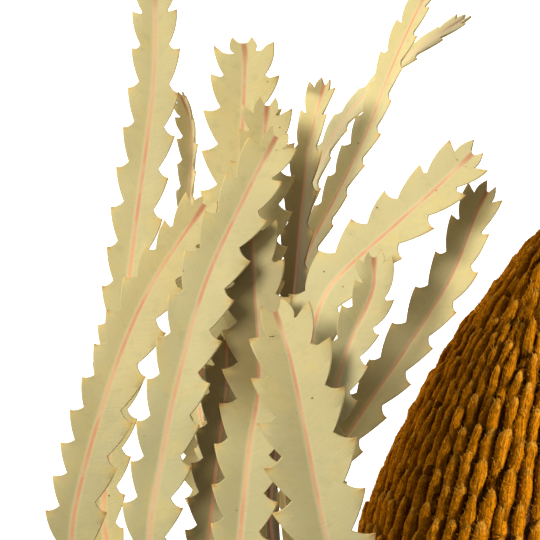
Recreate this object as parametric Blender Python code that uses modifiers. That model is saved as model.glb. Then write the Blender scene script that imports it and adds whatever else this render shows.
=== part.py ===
"""A cut banksia stem: one woolly flower cone with its stem, a leafy side shoot and saw-edged leaves.

The stem lies on a flat surface. Metres, +Z up, +Y towards the cone's tip. The origin is the spot
where the belly of the cone touches the surface. The lengths named below are in millimetres, and
MM turns them into metres.
"""

import math
from dataclasses import dataclass

import bmesh
import bpy
from mathutils import Matrix, Vector

MM = 0.001
UP = Vector((0.0, 0.0, 1.0))
GAP = 0.3

# The cone is a dome of florets in upright columns, lying on its side.
CONE_RADIUS = 38.9
CONE_DOME = 85.0
CONE_SKIRT = 22.0
CONE_FOOT_RADIUS = 7.0
CONE_TIP_RADIUS = 1.4
DOME_POWER = 1.6
DOME_ROUNDING = 0.9
CONE_YAW = math.radians(7.0)
AXIS_HEIGHT = 36.6
FLORET_COLUMNS = 50
FLORET_HALF_ROWS = 44
FLORET_RISE = 1.8
FLORET_LEAN = 0.9
FULL_RELIEF_RADIUS = 14.0
PROFILE_SAMPLES = 400

# Stems are routes of (x, y, z, radius), from the foot of the cone to the cut end, and from the
# fork to the tip of the leafy side shoot.
CONE_AXIS = Vector((math.sin(CONE_YAW), math.cos(CONE_YAW), 0.0))
STEM_TOP = AXIS_HEIGHT * UP - (CONE_SKIRT + GAP) * CONE_AXIS
STEM_ROUTE = [
    (*STEM_TOP, 4.8),
    (-5.0, -36.0, 35.4, 4.0),
    (-9.0, -56.0, 31.0, 3.8),
    (-15.0, -80.0, 22.5, 3.9),
    (-22.0, -104.0, 12.0, 4.0),
    (-29.0, -126.0, 5.6, 4.1),
    (-34.0, -142.0, 4.3, 4.2),
]
SHOOT_ROUTE = [
    (-15.0, -80.0, 22.5, 2.9),
    (-26.0, -68.0, 25.5, 2.8),
    (-38.0, -52.0, 28.5, 2.6),
    (-47.0, -34.0, 30.5, 2.4),
    (-52.0, -16.0, 32.0, 2.1),
    (-54.0, 4.0, 33.5, 1.5),
]
TUBE_STEPS = 3

# A leaf is a thin keeled blade with forward-pointing teeth, a narrow foot and a blunt tip that
# ends in two prongs. The shares are of its half width or of its tooth pitch.
LEAF_THICK = 0.7
FOOT_HALF_WIDTH = 0.7
FOOT_STANDOFF = 1.15
FOOT_RISE = 3.2
FOOT_RUN = 6.0
TOOTHLESS_SHARE = 0.2
FULL_WIDTH_SHARE = 0.6
SINUS_WIDTH = 0.58
TOOTH_BACK = 0.17
TIP_GAPS = [0.65, 0.88]
FOOT_PITCH = 0.8
TIP_SINUS_BACK = 0.23
TIP_SINUS_WIDTH = 0.38
TIP_TOOTH_WIDTH = 0.72
TIP_TAPER = 0.13
PRONG_AHEAD = 0.12
PRONG_WIDTH = 0.27
LINE_STEPS = 12

LEAF_GREEN = (0.47, 0.44, 0.24)
CONE_ORANGE = (0.42, 0.18, 0.02)
BARK_BROWN = (0.20, 0.12, 0.06)


@dataclass
class Leaf:
    """One leaf: where its foot sits on a stem, and the points its midrib passes, the tip last.

    along is the distance from the stem's first point and clock the side it grows from, in degrees,
    0 above and 90 to the right. The teeth of each edge are given as how far they lag behind the
    tip's own tooth and their pitch. bank leans the blade's face to the right, fold lifts both halves.
    """

    stem: str
    along: float
    clock: float
    half_width: float
    left_teeth: tuple
    right_teeth: tuple
    bank: float
    fold: float
    via: list


LEAVES = {
    "leaf_front": Leaf("shoot", 45, 20, 9.7, (-2.4, 9.2), (0.8, 10.5), 8, 14, [
        (-38, -24, 50), (-37.6, -6, 59), (-40.2, 7, 63), (-43, 18, 64), (-46.8, 38, 64.5),
        (-49.4, 50, 64), (-52, 57.8, 63)]),
    "leaf_centre": Leaf("shoot", 50, -25, 6.5, (-2.8, 8.8), (1.6, 9.2), 0, 10, [
        (-62, -22, 45), (-72.4, -8, 53), (-76.6, 12, 58), (-74, 30, 59), (-71.6, 42, 59.5),
        (-65.8, 63, 59), (-57.6, 81, 57), (-51.8, 92.2, 55)]),
    "leaf_outer": Leaf("shoot", 40, -75, 6, (2.4, 7.1), (0.8, 10.3), 0, 9, [
        (-60, -38, 36), (-79, -22, 40), (-90.6, -4, 44), (-91.6, 12, 46), (-89.5, 25, 47),
        (-84, 45.6, 48), (-76.8, 62.4, 48), (-66, 79, 47)]),
    "leaf_tall": Leaf("shoot", 54, -100, 5.5, (1.2, 8.4), (0.6, 8.7), 0, 8, [
        (-66, -22, 31), (-79, -8, 34), (-85.8, 12, 36.5), (-85.8, 26, 37.5), (-82.6, 52, 38.5),
        (-80.4, 71, 39), (-76.8, 98, 39.5), (-76, 110, 39.5), (-76, 124.4, 39)]),
    "leaf_middle": Leaf("shoot", 62, 5, 7.4, (0, 8.4), (2.4, 8.4), 0, 12, [
        (-57, -12, 44), (-60, 2, 51), (-59, 12, 53), (-57.2, 30, 53.5), (-55.2, 44, 53.5),
        (-56, 62, 53), (-57, 75.6, 52.5)]),
    "leaf_crown": Leaf("shoot", 82, -60, 8.3, (0.9, 8.3), (1.2, 7.5), 0, 9, [
        (-59.5, 14, 35.5), (-61, 36, 39.5), (-60.2, 60, 41.5), (-59, 84, 42.5),
        (-58, 106, 43), (-58.2, 111.2, 43)]),
    "leaf_crown_small": Leaf("shoot", 92, 0, 6.8, (0, 7.4), (2, 7.4), 4, 10, [
        (-55.6, 14, 41), (-57, 30, 43), (-56.8, 60, 43.6), (-54.8, 84, 46), (-53.6, 98.6, 47.5)]),
    "leaf_dark": Leaf("shoot", 84, 120, 5.1, (0.5, 8.4), (0, 8.4), -47, 16, [
        (-50.5, 14, 32.5), (-49, 36, 34.5), (-47.4, 60, 36), (-46.4, 78, 37), (-45, 90, 38),
        (-43.2, 98, 38.5), (-41.8, 103, 38.5)]),
    "leaf_pale": Leaf("shoot", 74, 80, 7.2, (-3.6, 8.8), (0.2, 9.8), -28, 12, [
        (-46.4, 6, 36), (-46, 20, 41.5), (-45.4, 36, 47), (-44.9, 49, 50), (-43.2, 58, 51.2),
        (-39.2, 64.6, 51.2), (-27.6, 75.2, 49.5), (-20.5, 81.6, 50), (-12.8, 88.9, 50.5)]),
    "leaf_curled": Leaf("shoot", 88, 35, 5.1, (0, 7.6), (2, 7.6), 4, 18, [
        (-48, 11, 43.5), (-44.5, 24, 52), (-42.6, 34, 56), (-40.4, 42, 57.5), (-38.2, 49.4, 58),
        (-36.2, 54.4, 58.3), (-33.6, 59.4, 58.5), (-32.6, 64, 58.5), (-32.8, 67.6, 58.5)]),
    "leaf_shaded": Leaf("shoot", 64, 100, 5.9, (0.8, 9.2), (2, 8.8), -30, 15, [
        (-42, 0, 33), (-42.6, 14, 36.5), (-41, 26, 39), (-35.7, 35.3, 40), (-26.3, 49.1, 40),
        (-17, 63.7, 40), (-11.7, 76.8, 40.5), (-9.5, 81.6, 41)]),
    "leaf_back_long": Leaf("shoot", 70, 150, 4.5, (-1.5, 7.2), (0, 7.2), -46, 18, [
        (-47, -2, 25), (-49, 16, 23.5), (-50, 34, 23), (-49, 52, 23), (-45, 69, 24),
        (-39.4, 80.6, 25), (-33.2, 93.4, 26), (-28.8, 105, 26.5), (-24, 116, 27), (-20, 124, 27)]),
    "leaf_back_edge": Leaf("shoot", 64, 170, 4.6, (0, 7.2), (1, 7.2), -65, 8, [
        (-47, -10, 21), (-45, 10, 15), (-45, 30, 12), (-46.5, 52, 11), (-47, 70, 11),
        (-43.5, 85, 11.5), (-38, 96, 12), (-30, 105, 13), (-22, 111.6, 14), (-13.4, 117.2, 14)]),
    "leaf_edge_left": Leaf("shoot", 78, -140, 4.2, (0, 5.6), (1, 5.6), -56, 24, [
        (-57, 0, 26), (-62, 16, 26), (-66.5, 36, 27), (-69.5, 58, 28), (-69.2, 76, 29),
        (-68.4, 90, 30), (-69, 97, 30.5), (-70.4, 101, 30.5)]),
    "leaf_under_middle": Leaf("shoot", 72, -35, 5.2, (0, 7.2), (2, 7.2), 0, 10, [
        (-60, -4, 41), (-65, 8, 47), (-64.6, 18, 49.5), (-63, 32, 50), (-61.8, 41.6, 50),
        (-61.5, 52, 49)]),
    "leaf_low_middle": Leaf("shoot", 86, 180, 6.5, (0, 8), (2, 8), 0, 8, [
        (-59.5, 13, 21), (-64.5, 34, 15), (-66, 56, 11), (-66, 76, 10)]),
    "leaf_splayed": Leaf("shoot", 34, -120, 6.2, (0, 7.8), (2, 7.8), 0, 8, [
        (-52, -50, 20), (-68, -40, 9), (-86, -28, 3), (-104, -16, 0.45)]),
    "leaf_cone_side": Leaf("stem", 12, 95, 7.4, (0, 8.8), (2, 8.8), 20, 10, [
        (16, -34, 34), (36, -22, 30), (50, 0, 28), (54, 28, 30), (50, 54, 33)]),
    "leaf_cone_low": Leaf("stem", 26, 130, 7.2, (0, 8.6), (3, 8.6), 0, 8, [
        (10, -44, 23), (28, -32, 10), (48, -12, 3), (63, 14, 1), (71, 38, 0.45)]),
    "leaf_cone_top": Leaf("stem", 16, 25, 7.4, (0, 8.8), (2, 8.8), 12, 10, [
        (4, -44, 52), (15, -36, 67), (25, -18, 79), (31, 6, 85), (32, 30, 85)]),
    "leaf_cone_under": Leaf("stem", 24, -120, 6.0, (0, 7.6), (2, 7.6), 0, 8, [
        (-18, -47, 24), (-27, -34, 14), (-33, -18, 8), (-34, 1, 5)]),
    "leaf_stem_right": Leaf("stem", 48, 75, 6.6, (0, 8.2), (3, 8.2), 10, 10, [
        (2, -66, 28), (19, -57, 24), (39, -44, 20), (58, -26, 18), (72, -4, 19)]),
    "leaf_stem_low": Leaf("stem", 84, 50, 5.0, (0, 7), (1, 7), -10, 12, [
        (-10, -98, 21), (0, -86, 25), (9, -70, 28), (16, -54, 30)]),
}


def catmull_rom(p0, p1, p2, p3, share):
    """The point that share of the way from p1 to p2, on the smooth line through all four."""
    return 0.5 * (
        2 * p1
        + (p2 - p0) * share
        + (2 * p0 - 5 * p1 + 4 * p2 - p3) * share**2
        + (3 * p1 - p0 - 3 * p2 + p3) * share**3
    )


def smooth_line(points, steps):
    """Points on one smooth line through the given ones. A fourth number, a radius, is smoothed too."""
    points = [Vector(p) for p in points]
    padded = [2 * points[0] - points[1], *points, 2 * points[-1] - points[-2]]
    line = [
        catmull_rom(*padded[i:i + 4], k / steps)
        for i in range(len(points) - 1)
        for k in range(steps)
    ]
    return [*line, points[-1]]


class Route:
    """A smooth line that is asked for its point and direction at a distance along it."""

    def __init__(self, points, steps=LINE_STEPS):
        self.line = smooth_line(points, steps)
        self.reached = [0.0]
        for a, b in zip(self.line, self.line[1:]):
            self.reached.append(self.reached[-1] + (b - a).to_3d().length)
        self.length = self.reached[-1]

    def at(self, distance):
        """The point, with its radius if it has one, and the direction there."""
        last = len(self.line) - 2
        k = next((i for i in range(last) if self.reached[i + 1] > distance), last)
        a, b = self.line[k], self.line[k + 1]
        share = (distance - self.reached[k]) / (self.reached[k + 1] - self.reached[k])
        return a + (b - a) * share, (b - a).to_3d().normalized()


STEMS = {"stem": Route(STEM_ROUTE), "shoot": Route(SHOOT_ROUTE)}


def material(name, colour, roughness):
    """A Principled material with the part's colour."""
    made = bpy.data.materials.new(name)
    made.use_nodes = True
    shader = made.node_tree.nodes["Principled BSDF"]
    shader.inputs["Base Color"].default_value = (*colour, 1.0)
    shader.inputs["Roughness"].default_value = roughness
    return made


def add_object(name, mesh, collection, look):
    """Links a mesh as a named part with its material."""
    made = bpy.data.objects.new(name, mesh)
    collection.objects.link(made)
    mesh.materials.append(look)
    return made


def cone_profile():
    """(radius, height) from the foot ring to the tip ring, in steps of equal length."""
    samples = []
    for k in range(PROFILE_SAMPLES + 1):
        angle = k / PROFILE_SAMPLES * math.pi / 2
        rise = math.sin(angle)
        radius = CONE_RADIUS * rise
        if radius > CONE_FOOT_RADIUS:
            samples.append(Vector((radius, -CONE_SKIRT * math.cos(angle))))
    for k in range(1, PROFILE_SAMPLES + 1):
        share = k / PROFILE_SAMPLES
        radius = CONE_RADIUS * (1 - share**DOME_POWER) ** DOME_ROUNDING
        if radius > CONE_TIP_RADIUS:
            samples.append(Vector((radius, CONE_DOME * share)))
    route = Route([(p.x, p.y, 0.0) for p in samples], steps=1)
    steps = [route.length * j / FLORET_HALF_ROWS for j in range(FLORET_HALF_ROWS + 1)]
    return [route.at(distance) for distance in steps]


def make_cone(collection, look):
    """The flower cone: a flat grid rolled up into the dome, with a peak at every floret.

    Its own +Z is the cone's axis and its own +Y points down, where the belly is pressed flat.
    """
    profile = cone_profile()
    mesh = bpy.data.meshes.new("cone")
    bm = bmesh.new()
    bmesh.ops.create_grid(bm, x_segments=FLORET_COLUMNS, y_segments=FLORET_HALF_ROWS, size=0.5)
    hollows = []
    for vert in bm.verts:
        column = round((vert.co.x + 0.5) * FLORET_COLUMNS) % FLORET_COLUMNS
        row = round((vert.co.y + 0.5) * FLORET_HALF_ROWS)
        spot, along = profile[row]
        radius, height = spot.x, spot.y
        inside_ends = 0 < row < FLORET_HALF_ROWS
        if (column + row) % 2 == 0 and inside_ends:
            relief = min(1.0, radius / FULL_RELIEF_RADIUS)
            radius += relief * FLORET_LEAN * along.x
            height += relief * FLORET_LEAN * along.y
        else:
            relief = min(1.0, radius / FULL_RELIEF_RADIUS) if inside_ends else 0.0
            radius -= relief * FLORET_RISE * along.y
            height += relief * FLORET_RISE * along.x
            hollows.append(vert)
        angle = 2 * math.pi * column / FLORET_COLUMNS
        across = radius * math.cos(angle)
        down = min(radius * math.sin(angle), AXIS_HEIGHT)
        vert.co = MM * Vector((across, down, height))
    bmesh.ops.connect_verts(bm, verts=hollows)
    bmesh.ops.remove_doubles(bm, verts=bm.verts, dist=0.01 * MM)
    bmesh.ops.holes_fill(bm, edges=[e for e in bm.edges if e.is_boundary], sides=0)
    bmesh.ops.recalc_face_normals(bm, faces=bm.faces)
    bm.to_mesh(mesh)
    bm.free()
    cone = add_object("cone", mesh, collection, look)
    cone.location = AXIS_HEIGHT * MM * UP
    cone.rotation_euler = (-math.pi / 2, 0.0, -CONE_YAW)
    return cone


def tube(name, route):
    """A round tube with closed ends, its radius changing along a route of (x, y, z, radius)."""
    line = smooth_line(route, TUBE_STEPS)
    curve = bpy.data.curves.new(name, "CURVE")
    curve.dimensions = "3D"
    curve.bevel_depth = MM
    curve.bevel_resolution = 4
    curve.use_fill_caps = True
    spline = curve.splines.new("POLY")
    spline.points.add(len(line) - 1)
    for point, spot in zip(spline.points, line):
        point.co = (*(MM * spot.to_3d()), 1.0)
        point.radius = spot.w
    guide = bpy.data.objects.new(name, curve)
    bpy.context.scene.collection.objects.link(guide)
    bpy.context.view_layer.update()
    evaluated = guide.evaluated_get(bpy.context.evaluated_depsgraph_get())
    mesh = bpy.data.meshes.new_from_object(evaluated)
    bm = bmesh.new()
    bm.from_mesh(mesh)
    bmesh.ops.remove_doubles(bm, verts=bm.verts, dist=0.01 * MM)
    bmesh.ops.recalc_face_normals(bm, faces=bm.faces)
    bm.to_mesh(mesh)
    bm.free()
    bpy.data.objects.remove(guide)
    return mesh


def make_stem(collection, cutters, look):
    """The woody stem with its leafy side shoot, grown together as one piece."""
    stem = add_object("stem", tube("stem", STEM_ROUTE), collection, look)
    shoot = add_object("side_shoot", tube("side_shoot", SHOOT_ROUTE), cutters, look)
    shoot.hide_render = True
    shoot.display_type = "WIRE"
    joined = stem.modifiers.new("side shoot", "BOOLEAN")
    joined.operation = "UNION"
    joined.object = shoot
    return stem


def half_width_at(share, leaf):
    """The tooth-tip half width at a share of the leaf's length: a long wedge, then full, then blunt."""
    climb = min(1.0, share / FULL_WIDTH_SHARE)
    wedge = climb * climb * (3 - 2 * climb)
    blunt = min(1.0, TIP_TOOTH_WIDTH + (1 - TIP_TOOTH_WIDTH) * (1 - share) / TIP_TAPER)
    return FOOT_HALF_WIDTH + (leaf.half_width - FOOT_HALF_WIDTH) * wedge * blunt


def edge_outline(leaf, length, lag, pitch):
    """One edge of the blade, foot to tip, as (distance along the midrib, half width) of each corner.

    A tooth's tip lies behind the hollow above it, so the teeth hook forwards. The teeth stand
    closer at the tip, and again towards the foot.
    """
    full = leaf.half_width
    outline = [
        (length + PRONG_AHEAD * pitch, PRONG_WIDTH * full),
        (length - TIP_SINUS_BACK * pitch, TIP_SINUS_WIDTH * full),
        (length, half_width_at(1.0, leaf)),
    ]
    tooth = length - lag
    gaps = list(TIP_GAPS)
    while tooth > TOOTHLESS_SHARE * length + pitch:
        gap = gaps.pop(0) if gaps else FOOT_PITCH + (1 - FOOT_PITCH) * tooth / length
        tooth -= gap * pitch
        width = half_width_at(tooth / length, leaf)
        outline.append((tooth + TOOTH_BACK * pitch, SINUS_WIDTH * width))
        outline.append((tooth, width))
    wedge = 0.5 * TOOTHLESS_SHARE * length
    outline.append((wedge, half_width_at(wedge / length, leaf)))
    outline.append((0.0, FOOT_HALF_WIDTH))
    return outline[::-1]


def leaf_route(leaf):
    """The midrib's smooth line, from just off the stem, out and along it, then by the leaf's points."""
    stem = STEMS[leaf.stem]
    foot, along = stem.at(leaf.along)
    growth = along if leaf.stem == "shoot" else -along
    right = growth.cross(UP).normalized()
    clock = math.radians(leaf.clock)
    outward = math.cos(clock) * right.cross(growth) + math.sin(clock) * right
    start = foot.to_3d() + (foot.w + FOOT_STANDOFF) * outward
    bend = start + FOOT_RISE * outward + FOOT_RUN * growth
    return Route([start, bend, *leaf.via])


def blade_point(leaf, route, distance, width, side):
    """The point at a distance along the midrib and a width to one side, -1 left or 1 right."""
    spot, along = route.at(min(distance, route.length))
    spot = spot + max(0.0, distance - route.length) * along
    level = along.cross(UP).normalized()
    turn = Matrix.Rotation(math.radians(leaf.bank), 3, along)
    fold = math.radians(leaf.fold)
    across = side * math.cos(fold) * (turn @ level)
    lifted = math.sin(fold) * (turn @ level.cross(along))
    return spot + width * (across + lifted)


def make_leaf(name, leaf, collection, look):
    """A blade of one thickness, zipped in triangles between its midrib and its two toothed edges."""
    route = leaf_route(leaf)
    count = round(route.length / leaf.left_teeth[1])
    stations = [route.length * k / count for k in range(count + 1)]
    bm = bmesh.new()
    rib = [bm.verts.new(MM * blade_point(leaf, route, distance, 0.0, 1)) for distance in stations]
    for side, (lag, pitch) in ((-1, leaf.left_teeth), (1, leaf.right_teeth)):
        outline = edge_outline(leaf, route.length, lag, pitch)
        edge = [bm.verts.new(MM * blade_point(leaf, route, *corner, side)) for corner in outline]
        i = j = 0
        while i + 1 < len(rib) or j + 1 < len(edge):
            behind = i + 1 < len(rib) and (j + 1 == len(edge) or stations[i + 1] < outline[j + 1][0])
            if behind:
                corners = [rib[i], rib[i + 1], edge[j]]
                i += 1
            else:
                corners = [rib[i], edge[j + 1], edge[j]]
                j += 1
            bm.faces.new(corners if side == 1 else corners[::-1])
    mesh = bpy.data.meshes.new(name)
    bm.to_mesh(mesh)
    bm.free()
    made = add_object(name, mesh, collection, look)
    solid = made.modifiers.new("blade", "SOLIDIFY")
    solid.thickness = LEAF_THICK * MM
    solid.offset = 0.0
    return made


def main():
    for old in list(bpy.data.objects):
        bpy.data.objects.remove(old)
    parts = bpy.data.collections.new("banksia_cone")
    cutters = bpy.data.collections.new("cutters")
    bpy.context.scene.collection.children.link(parts)
    bpy.context.scene.collection.children.link(cutters)
    make_cone(parts, material("woolly_orange", CONE_ORANGE, 0.95))
    make_stem(parts, cutters, material("bark", BARK_BROWN, 0.85))
    for name, leaf in LEAVES.items():
        make_leaf(name, leaf, parts, material(name, LEAF_GREEN, 0.6))


main()
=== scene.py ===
# %% [markdown]
# A dried banksia: one woolly flower cone on its cut stem, with a leafy side shoot.
#
# The solids of the part are loaded first and stay as they are. Each of them is then dressed: a
# finer piece takes its place, with the real outline, relief and colour of the dry plant. The
# lengths named below are in millimetres, and MM turns them into metres.

# %% The frame
import math
from dataclasses import dataclass

import bmesh
import bpy
import numpy as np
from mathutils import Matrix, Vector, noise


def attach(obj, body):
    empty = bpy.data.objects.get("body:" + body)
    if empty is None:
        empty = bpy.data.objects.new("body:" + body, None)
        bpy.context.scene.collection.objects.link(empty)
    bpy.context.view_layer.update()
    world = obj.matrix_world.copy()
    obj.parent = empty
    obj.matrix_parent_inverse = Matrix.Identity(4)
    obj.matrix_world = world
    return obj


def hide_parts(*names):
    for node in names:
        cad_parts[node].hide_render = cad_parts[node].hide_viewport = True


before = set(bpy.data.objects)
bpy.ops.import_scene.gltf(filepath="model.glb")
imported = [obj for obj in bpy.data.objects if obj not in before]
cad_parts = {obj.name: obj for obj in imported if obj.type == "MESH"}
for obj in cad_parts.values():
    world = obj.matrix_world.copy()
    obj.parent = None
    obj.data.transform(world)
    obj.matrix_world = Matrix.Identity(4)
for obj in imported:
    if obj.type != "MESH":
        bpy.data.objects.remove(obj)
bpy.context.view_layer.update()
scene = bpy.context.scene
MM = 0.001

# %% [markdown]
# The photograph looks at the bunch of leaves, with the cone at the right edge of the picture. The
# stem lies down here, so the camera looks straight down on it from a metre away, with a long lens
# that frames 108 mm at the height of the leaves.

# %% The camera
VIEW_CENTRE = (-53.0, 66.0)
VIEW_WIDTH = 108.0
VIEW_LEVEL = 40.0
CAMERA_DISTANCE = 1000.0

eye = bpy.data.cameras.new("camera")
eye.lens = eye.sensor_width * CAMERA_DISTANCE / VIEW_WIDTH
eye.clip_start = 0.05
eye.clip_end = 50.0
camera = bpy.data.objects.new("camera", eye)
camera.location = MM * Vector((*VIEW_CENTRE, VIEW_LEVEL + CAMERA_DISTANCE))
scene.collection.objects.link(camera)
scene.camera = camera
scene.view_settings.view_transform = "Standard"
print("lens: %.0f mm" % eye.lens)

# %% [markdown]
# Soft light comes from the upper left and lets each leaf shade the ones beneath it. A large area
# lamp, the key, does that, and a weak one overhead fills in. Light linking then works like the
# black cards of a photo studio. A piece left out of a lamp's receivers gets none of its light, and
# a piece left out of its blockers casts no shadow in it. So the key leaves out the cone and the
# floor, and shines through the outermost leaf. The cone has two lamps of its own: one from the
# right, and a faint one from low on the left that draws its edge.

# %% The lamps


def area_lamp(name, place, target, size, power, colour):
    """A square soft lamp at a place, turned to a target."""
    lamp = bpy.data.lights.new(name, "AREA")
    lamp.size = MM * size
    lamp.energy = power
    lamp.color = colour
    holder = bpy.data.objects.new(name, lamp)
    holder.location = MM * Vector(place)
    aim = Vector(target) - Vector(place)
    holder.rotation_euler = aim.to_track_quat("-Z", "Y").to_euler()
    holder.visible_camera = False
    scene.collection.objects.link(holder)
    return holder


key_light = area_lamp("key", (-900, 560, 1400), (-60, 50, 45), 560, 30, (1.0, 0.98, 0.93))
overhead = area_lamp("overhead", (-200, 500, 1500), (-40, 40, 30), 900, 4.5, (1.0, 0.99, 0.97))
cone_light = area_lamp("cone light", (1030, -60, 950), (5, 60, 45), 260, 45, (1.0, 0.94, 0.82))
rim_light = area_lamp("rim light", (-1100, 260, -330), (0, 40, 40), 450, 5.5, (1.0, 0.94, 0.84))

key_shade = bpy.data.collections.new("shaded from the key")
key_light.light_linking.receiver_collection = key_shade
overhead.light_linking.receiver_collection = key_shade
key_passes = bpy.data.collections.new("let through by the key")
key_light.light_linking.blocker_collection = key_passes
cone_glow = bpy.data.collections.new("lit by the cone light")
cone_light.light_linking.receiver_collection = cone_glow
rim_light.light_linking.receiver_collection = cone_glow
rim_light.light_linking.blocker_collection = cone_glow


def exclude(piece, linking):
    """Leaves a piece out of what a collection of a lamp's light linking stands for."""
    linking.objects.link(piece)
    linking.collection_objects[-1].light_linking.link_state = "EXCLUDE"


print("lamps: key %.0f W, cone light %.0f W" % (key_light.data.energy, cone_light.data.energy))

# %% [markdown]
# The ground is a plain pale floor, far larger than the part. It glows a little, which keeps it
# white between the leaves, and lies a hair below the lowest point, so the two never share a plane.
# A faint white world lights what no lamp reaches. The small helper sets a node's inputs and is
# used by every finish below.

# %% The floor and the world
FLOOR_SIZE = 40000.0
FLOOR_DROP = 0.2
FLOOR_GREY = (0.9, 0.9, 0.9, 1.0)
WHITE = (1.0, 1.0, 1.0, 1.0)


def connect(tree, node, values):
    """Sets a node's inputs, and links an input where its value is the output of another node."""
    for label, value in values.items():
        if isinstance(value, bpy.types.NodeSocket):
            tree.links.new(value, node.inputs[label])
        else:
            node.inputs[label].default_value = value


world = bpy.data.worlds.new("studio")
world.use_nodes = True
connect(world.node_tree, world.node_tree.nodes["Background"], {"Color": WHITE, "Strength": 0.14})
scene.world = world

ground = bpy.data.meshes.new("floor")
half_floor = MM * FLOOR_SIZE / 2
corners = [(-1, -1), (1, -1), (1, 1), (-1, 1)]
floor_points = [(half_floor * x, half_floor * y, -MM * FLOOR_DROP) for x, y in corners]
ground.from_pydata(floor_points, [], [(0, 1, 2, 3)])
floor = bpy.data.objects.new("floor", ground)
scene.collection.objects.link(floor)
pale = bpy.data.materials.new("pale_floor")
pale.use_nodes = True
connect(pale.node_tree, pale.node_tree.nodes["Principled BSDF"], {
    "Base Color": FLOOR_GREY, "Roughness": 0.9,
    "Emission Color": WHITE, "Emission Strength": 1.8,
})
ground.materials.append(pale)
exclude(floor, key_shade)
print("floor: %.0f m across" % (2 * half_floor))

# %% [markdown]
# Every finish below is a small graph of shader nodes. This helper keeps those graphs short: it
# adds a node, sets what it is given by name, and returns the output that the next node needs.

# %% A helper for shader graphs


class Graph:
    """A material's node graph, with the Principled shader ready in it."""

    def __init__(self, name, roughness, **shader_values):
        self.material = bpy.data.materials.new(name)
        self.material.use_nodes = True
        self.tree = self.material.node_tree
        self.shader = self.tree.nodes["Principled BSDF"]
        self.set(self.shader, Roughness=roughness, **shader_values)

    def set(self, node, **values):
        connect(self.tree, node, {label.replace("_", " "): v for label, v in values.items()})

    def add(self, kind, **values):
        """Adds a node and returns its first output."""
        node = self.tree.nodes.new("ShaderNode" + kind)
        self.set(node, **values)
        return node.outputs[0]

    def math(self, operation, first, second=0.0):
        node = self.tree.nodes.new("ShaderNodeMath")
        node.operation = operation
        connect(self.tree, node, {0: first, 1: second})
        return node.outputs[0]

    def times(self, first, second):
        return self.math("MULTIPLY", first, second)

    def ramp(self, value, low, high, to_low=0.0, to_high=1.0):
        """Maps a range of values to another, with soft ends."""
        node = self.tree.nodes.new("ShaderNodeMapRange")
        node.interpolation_type = "SMOOTHSTEP"
        connect(self.tree, node, {0: value, 1: low, 2: high, 3: to_low, 4: to_high})
        return node.outputs[0]

    def mix(self, share, first, second):
        """Mixes two colours, each an RGB tuple or a socket."""
        node = self.tree.nodes.new("ShaderNodeMix")
        node.data_type = "RGBA"
        first, second = ((*c, 1.0) if isinstance(c, tuple) else c for c in (first, second))
        connect(self.tree, node, {0: share, 6: first, 7: second})
        return node.outputs[2]

    def stored(self, *names):
        """The values that are stored on the piece's points under these names."""
        nodes = [self.tree.nodes.new("ShaderNodeAttribute") for _ in names]
        for node, name in zip(nodes, names):
            node.attribute_name = name
        return [node.outputs["Fac"] for node in nodes]

    def place(self):
        """The position on the piece, in metres."""
        return self.tree.nodes.new("ShaderNodeTexCoord").outputs["Object"]

    def noise(self, scale, detail=3.0, vector=None):
        vector = vector or self.place()
        return self.add("TexNoise", Vector=vector, Scale=scale, Detail=detail, Roughness=0.55)

    def finish(self, colour, relief=None, depth=0.0):
        """Ends the graph with a colour and a fine relief of the given depth in millimetres."""
        self.set(self.shader, Base_Color=colour)
        if relief:
            bump = self.add("Bump", Height=relief, Distance=MM * depth, Strength=1.0)
            self.set(self.shader, Normal=bump)
        print("finish %s: %d nodes" % (self.material.name, len(self.tree.nodes)))
        return self.material


# %% [markdown]
# The leaves are dry and leathery: pale grey-green, olive at the foot and golden at the tip, with a
# pink-orange midrib. Fine veins run out to the teeth, small brown specks lie all over, and the
# thin margin, the points of the teeth and the end of the midrib have gone brown. The underside is
# felted and paler. The blade's own values drive all of this, which are stored on its points: the
# distance along the midrib and across it in millimetres, the share of the length, how near a
# point is to the edge or to a tooth's tip, and a value for painted shade, which darkens parts of a
# leaf that lie deep in the bunch, with some browning of the dry leaf in it too.

# %% The leaf finish
LEAF_PALE = (0.57, 0.49, 0.235)
LEAF_GREY = (0.50, 0.44, 0.225)
LEAF_GOLD = (0.60, 0.47, 0.17)
LEAF_OLIVE = (0.42, 0.375, 0.18)
# The next colour darkens the veins a little, and is also the painted shade of leaves deep in the
# bunch.
PAINTED_SHADE_AND_VEINS = (0.12, 0.08, 0.022)
MIDRIB_PINK = (0.64, 0.27, 0.13)
MIDRIB_TAN = (0.70, 0.41, 0.20)
MIDRIB_BORDER = (0.62, 0.50, 0.28)
MIDRIB_SHADE_AND_BROWN = (0.24, 0.09, 0.045)
SPECK_BROWN = (0.16, 0.08, 0.04)
MARGIN_BROWN = (0.40, 0.30, 0.12)
WITHERED_RED = (0.36, 0.11, 0.04)
TIP_GOLD = (0.66, 0.46, 0.14)
TIP_BROWN = (0.38, 0.18, 0.05)
FELT_GREY = (0.54, 0.47, 0.33)
VEIN_SPACING = 0.5
VEIN_WANDER = 2.2
RIB_HALF_WIDTH = 0.46


def leaf_ground(g, share):
    """The colour of the blade between its veins, from the foot to the tip."""
    colour = g.mix(g.ramp(g.noise(38.0, 2.0), 0.35, 0.65), LEAF_PALE, LEAF_GREY)
    colour = g.mix(g.ramp(share, 0.45, 0.8, 0.75, 0.0), colour, LEAF_OLIVE)
    colour = g.mix(g.times(g.ramp(share, 0.6, 1.0), 0.35), colour, LEAF_GOLD)
    colour = g.mix(g.ramp(g.noise(130.0), 0.5, 0.75, 0.0, 0.55), colour, LEAF_GOLD)
    return g.mix(g.ramp(g.noise(420.0, 4.0), 0.5, 0.72, 0.0, 0.35), colour, LEAF_OLIVE)


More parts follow.
